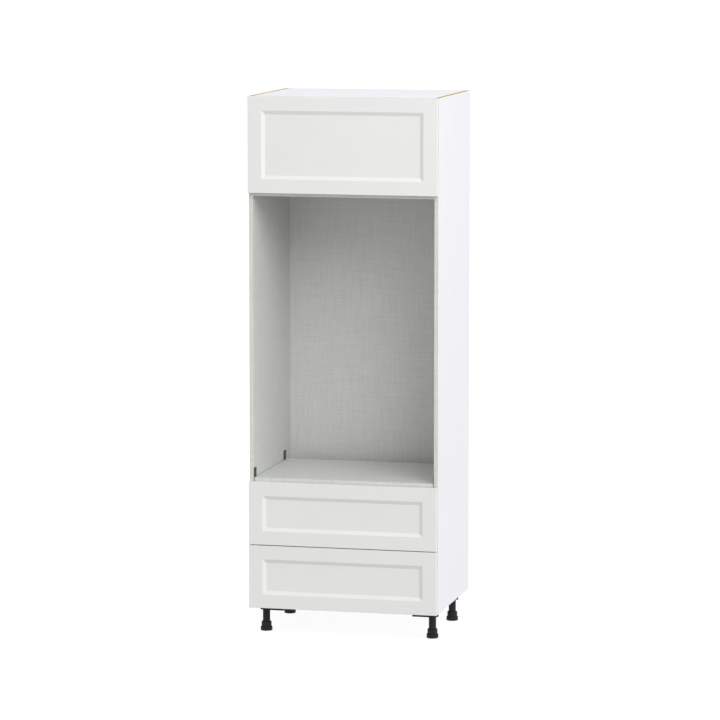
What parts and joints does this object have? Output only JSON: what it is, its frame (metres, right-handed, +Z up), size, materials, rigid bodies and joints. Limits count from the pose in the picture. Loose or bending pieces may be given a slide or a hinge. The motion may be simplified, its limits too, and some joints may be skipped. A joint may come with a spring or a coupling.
{
  "type": "tall microwave housing cabinet",
  "caption": "Tall kitchen housing cabinet with a lift-up flap, an open lined niche for a built-in microwave or oven, a vented shelf, full-width drawers and adjustable legs.",
  "frame": {"origin": "on the floor, in the middle of the overall width and depth", "axes": "+Z up, fronts face -Y, +X to the right seen from the front"},
  "size_m": [0.762, 0.6096, 2.142],
  "materials": {
    "white_melamine_board": "white melamine, satin",
    "linen_melamine_board": "grey linen-weave melamine",
    "linen_hardboard": "grey linen-weave print on thin hardboard",
    "satin_lacquer_front": "satin off-white lacquer on fibreboard",
    "grey_powder_coated_steel": "dark grey powder coat",
    "zinc_plated_steel": "bright zinc plating",
    "nickel_plated_steel": "satin nickel plating",
    "beech_wood": "plain fluted beech",
    "clear_soft_plastic": "soft translucent",
    "light_grey_steel": "light grey powder coat",
    "white_drawer_board": "white melamine, satin",
    "grey_moulded_plastic": "moulded, fine grain",
    "black_moulded_plastic": "moulded, fine grain"
  },
  "bodies": {
    "carcass": {"back_panel": "linen_hardboard", "bottom_panel": "linen_melamine_board", "bumper_pads": "clear_soft_plastic", "cam_bolts": "zinc_plated_steel", "cam_locks": "zinc_plated_steel", "carcass_screws": "zinc_plated_steel", "front_left_leg_socket": "black_moulded_plastic", "front_left_leg_tube": "black_moulded_plastic", "front_right_leg_socket": "black_moulded_plastic", "front_right_leg_tube": "black_moulded_plastic", "hanging_rail": "linen_melamine_board", "hinge_brackets": "nickel_plated_steel", "hinge_lower_pins": "zinc_plated_steel", "left_side_panel": "white_melamine_board", "lower_drawer_cabinet_rails": "zinc_plated_steel", "oven_shelf": "linen_melamine_board", "oven_shelf_brackets": "grey_powder_coated_steel", "oven_shelf_screws": "grey_powder_coated_steel", "panel_dowels": "beech_wood", "rear_left_leg_socket": "black_moulded_plastic", "rear_left_leg_tube": "black_moulded_plastic", "rear_right_leg_socket": "black_moulded_plastic", "rear_right_leg_tube": "black_moulded_plastic", "right_side_panel": "white_melamine_board", "stay_bases": "nickel_plated_steel", "top_panel": "white_melamine_board", "upper_drawer_cabinet_rails": "zinc_plated_steel", "upper_shelf": "linen_melamine_board"},
    "hinge_links": {"hinge_links": "nickel_plated_steel"},
    "flap": {"flap_door": "satin_lacquer_front", "hinge_cups": "nickel_plated_steel", "hinge_upper_pins": "zinc_plated_steel", "flap_screws": "zinc_plated_steel", "stay_tracks": "nickel_plated_steel"},
    "left_stay": {"left_stay_arm": "nickel_plated_steel", "left_stay_roller": "zinc_plated_steel"},
    "right_stay": {"right_stay_arm": "nickel_plated_steel", "right_stay_roller": "zinc_plated_steel"},
    "upper_drawer": {"upper_drawer_front": "satin_lacquer_front", "upper_drawer_left_side": "light_grey_steel", "upper_drawer_right_side": "light_grey_steel", "upper_drawer_bottom": "white_drawer_board", "upper_drawer_back": "white_drawer_board", "upper_drawer_front_fixings": "grey_moulded_plastic", "upper_drawer_rails": "zinc_plated_steel"},
    "upper_middle_rails": {"upper_drawer_middle_rails": "zinc_plated_steel"},
    "lower_drawer": {"lower_drawer_front": "satin_lacquer_front", "lower_drawer_left_side": "light_grey_steel", "lower_drawer_right_side": "light_grey_steel", "lower_drawer_bottom": "white_drawer_board", "lower_drawer_back": "white_drawer_board", "lower_drawer_front_fixings": "grey_moulded_plastic", "lower_drawer_rails": "zinc_plated_steel"},
    "lower_middle_rails": {"lower_drawer_middle_rails": "zinc_plated_steel"},
    "front_left_foot": {"front_left_foot": "black_moulded_plastic"},
    "front_right_foot": {"front_right_foot": "black_moulded_plastic"},
    "rear_left_foot": {"rear_left_foot": "black_moulded_plastic"},
    "rear_right_foot": {"rear_right_foot": "black_moulded_plastic"}
  },
  "joints": [
    {"name": "hinge_link_swing", "type": "hinge", "parent": "carcass", "child": "hinge_links", "pos_m": [0, -0.2758, 2.092], "axis": [1, 0, 0], "range_deg": [0, 45]},
    {"name": "flap_lift", "type": "hinge", "parent": "hinge_links", "child": "flap", "pos_m": [0, -0.2883, 2.1245], "axis": [-1, 0, 0], "range_deg": [0, 135]},
    {"name": "left_stay_swing", "type": "hinge", "parent": "carcass", "child": "left_stay", "pos_m": [-0.353, -0.2608, 2.091], "axis": [-1, 0, 0], "range_deg": [0, 90]},
    {"name": "right_stay_swing", "type": "hinge", "parent": "carcass", "child": "right_stay", "pos_m": [0.353, -0.2608, 2.091], "axis": [-1, 0, 0], "range_deg": [0, 90]},
    {"name": "upper_drawer_slide", "type": "slide", "parent": "carcass", "child": "upper_drawer", "axis": [0, -1, 0], "range_m": [0, 0.45]},
    {"name": "upper_middle_rail_slide", "type": "slide", "parent": "carcass", "child": "upper_middle_rails", "axis": [0, -1, 0], "range_m": [0, 0.225]},
    {"name": "lower_drawer_slide", "type": "slide", "parent": "carcass", "child": "lower_drawer", "axis": [0, -1, 0], "range_m": [0, 0.45]},
    {"name": "lower_middle_rail_slide", "type": "slide", "parent": "carcass", "child": "lower_middle_rails", "axis": [0, -1, 0], "range_m": [0, 0.225]},
    {"name": "front_left_foot_height", "type": "slide", "parent": "carcass", "child": "front_left_foot", "axis": [0, 0, -1], "range_m": [0, 0.015]},
    {"name": "front_right_foot_height", "type": "slide", "parent": "carcass", "child": "front_right_foot", "axis": [0, 0, -1], "range_m": [0, 0.015]},
    {"name": "rear_left_foot_height", "type": "slide", "parent": "carcass", "child": "rear_left_foot", "axis": [0, 0, -1], "range_m": [0, 0.015]},
    {"name": "rear_right_foot_height", "type": "slide", "parent": "carcass", "child": "rear_right_foot", "axis": [0, 0, -1], "range_m": [0, 0.015]}
  ],
  "couplings": [
    {"joint": "hinge_link_swing", "follows": "flap_lift", "ratio": 0.33333},
    {"joint": "left_stay_swing", "follows": "flap_lift", "ratio": 0.66667},
    {"joint": "right_stay_swing", "follows": "flap_lift", "ratio": 0.66667},
    {"joint": "upper_middle_rail_slide", "follows": "upper_drawer_slide", "ratio": 0.5},
    {"joint": "lower_middle_rail_slide", "follows": "lower_drawer_slide", "ratio": 0.5}
  ]
}
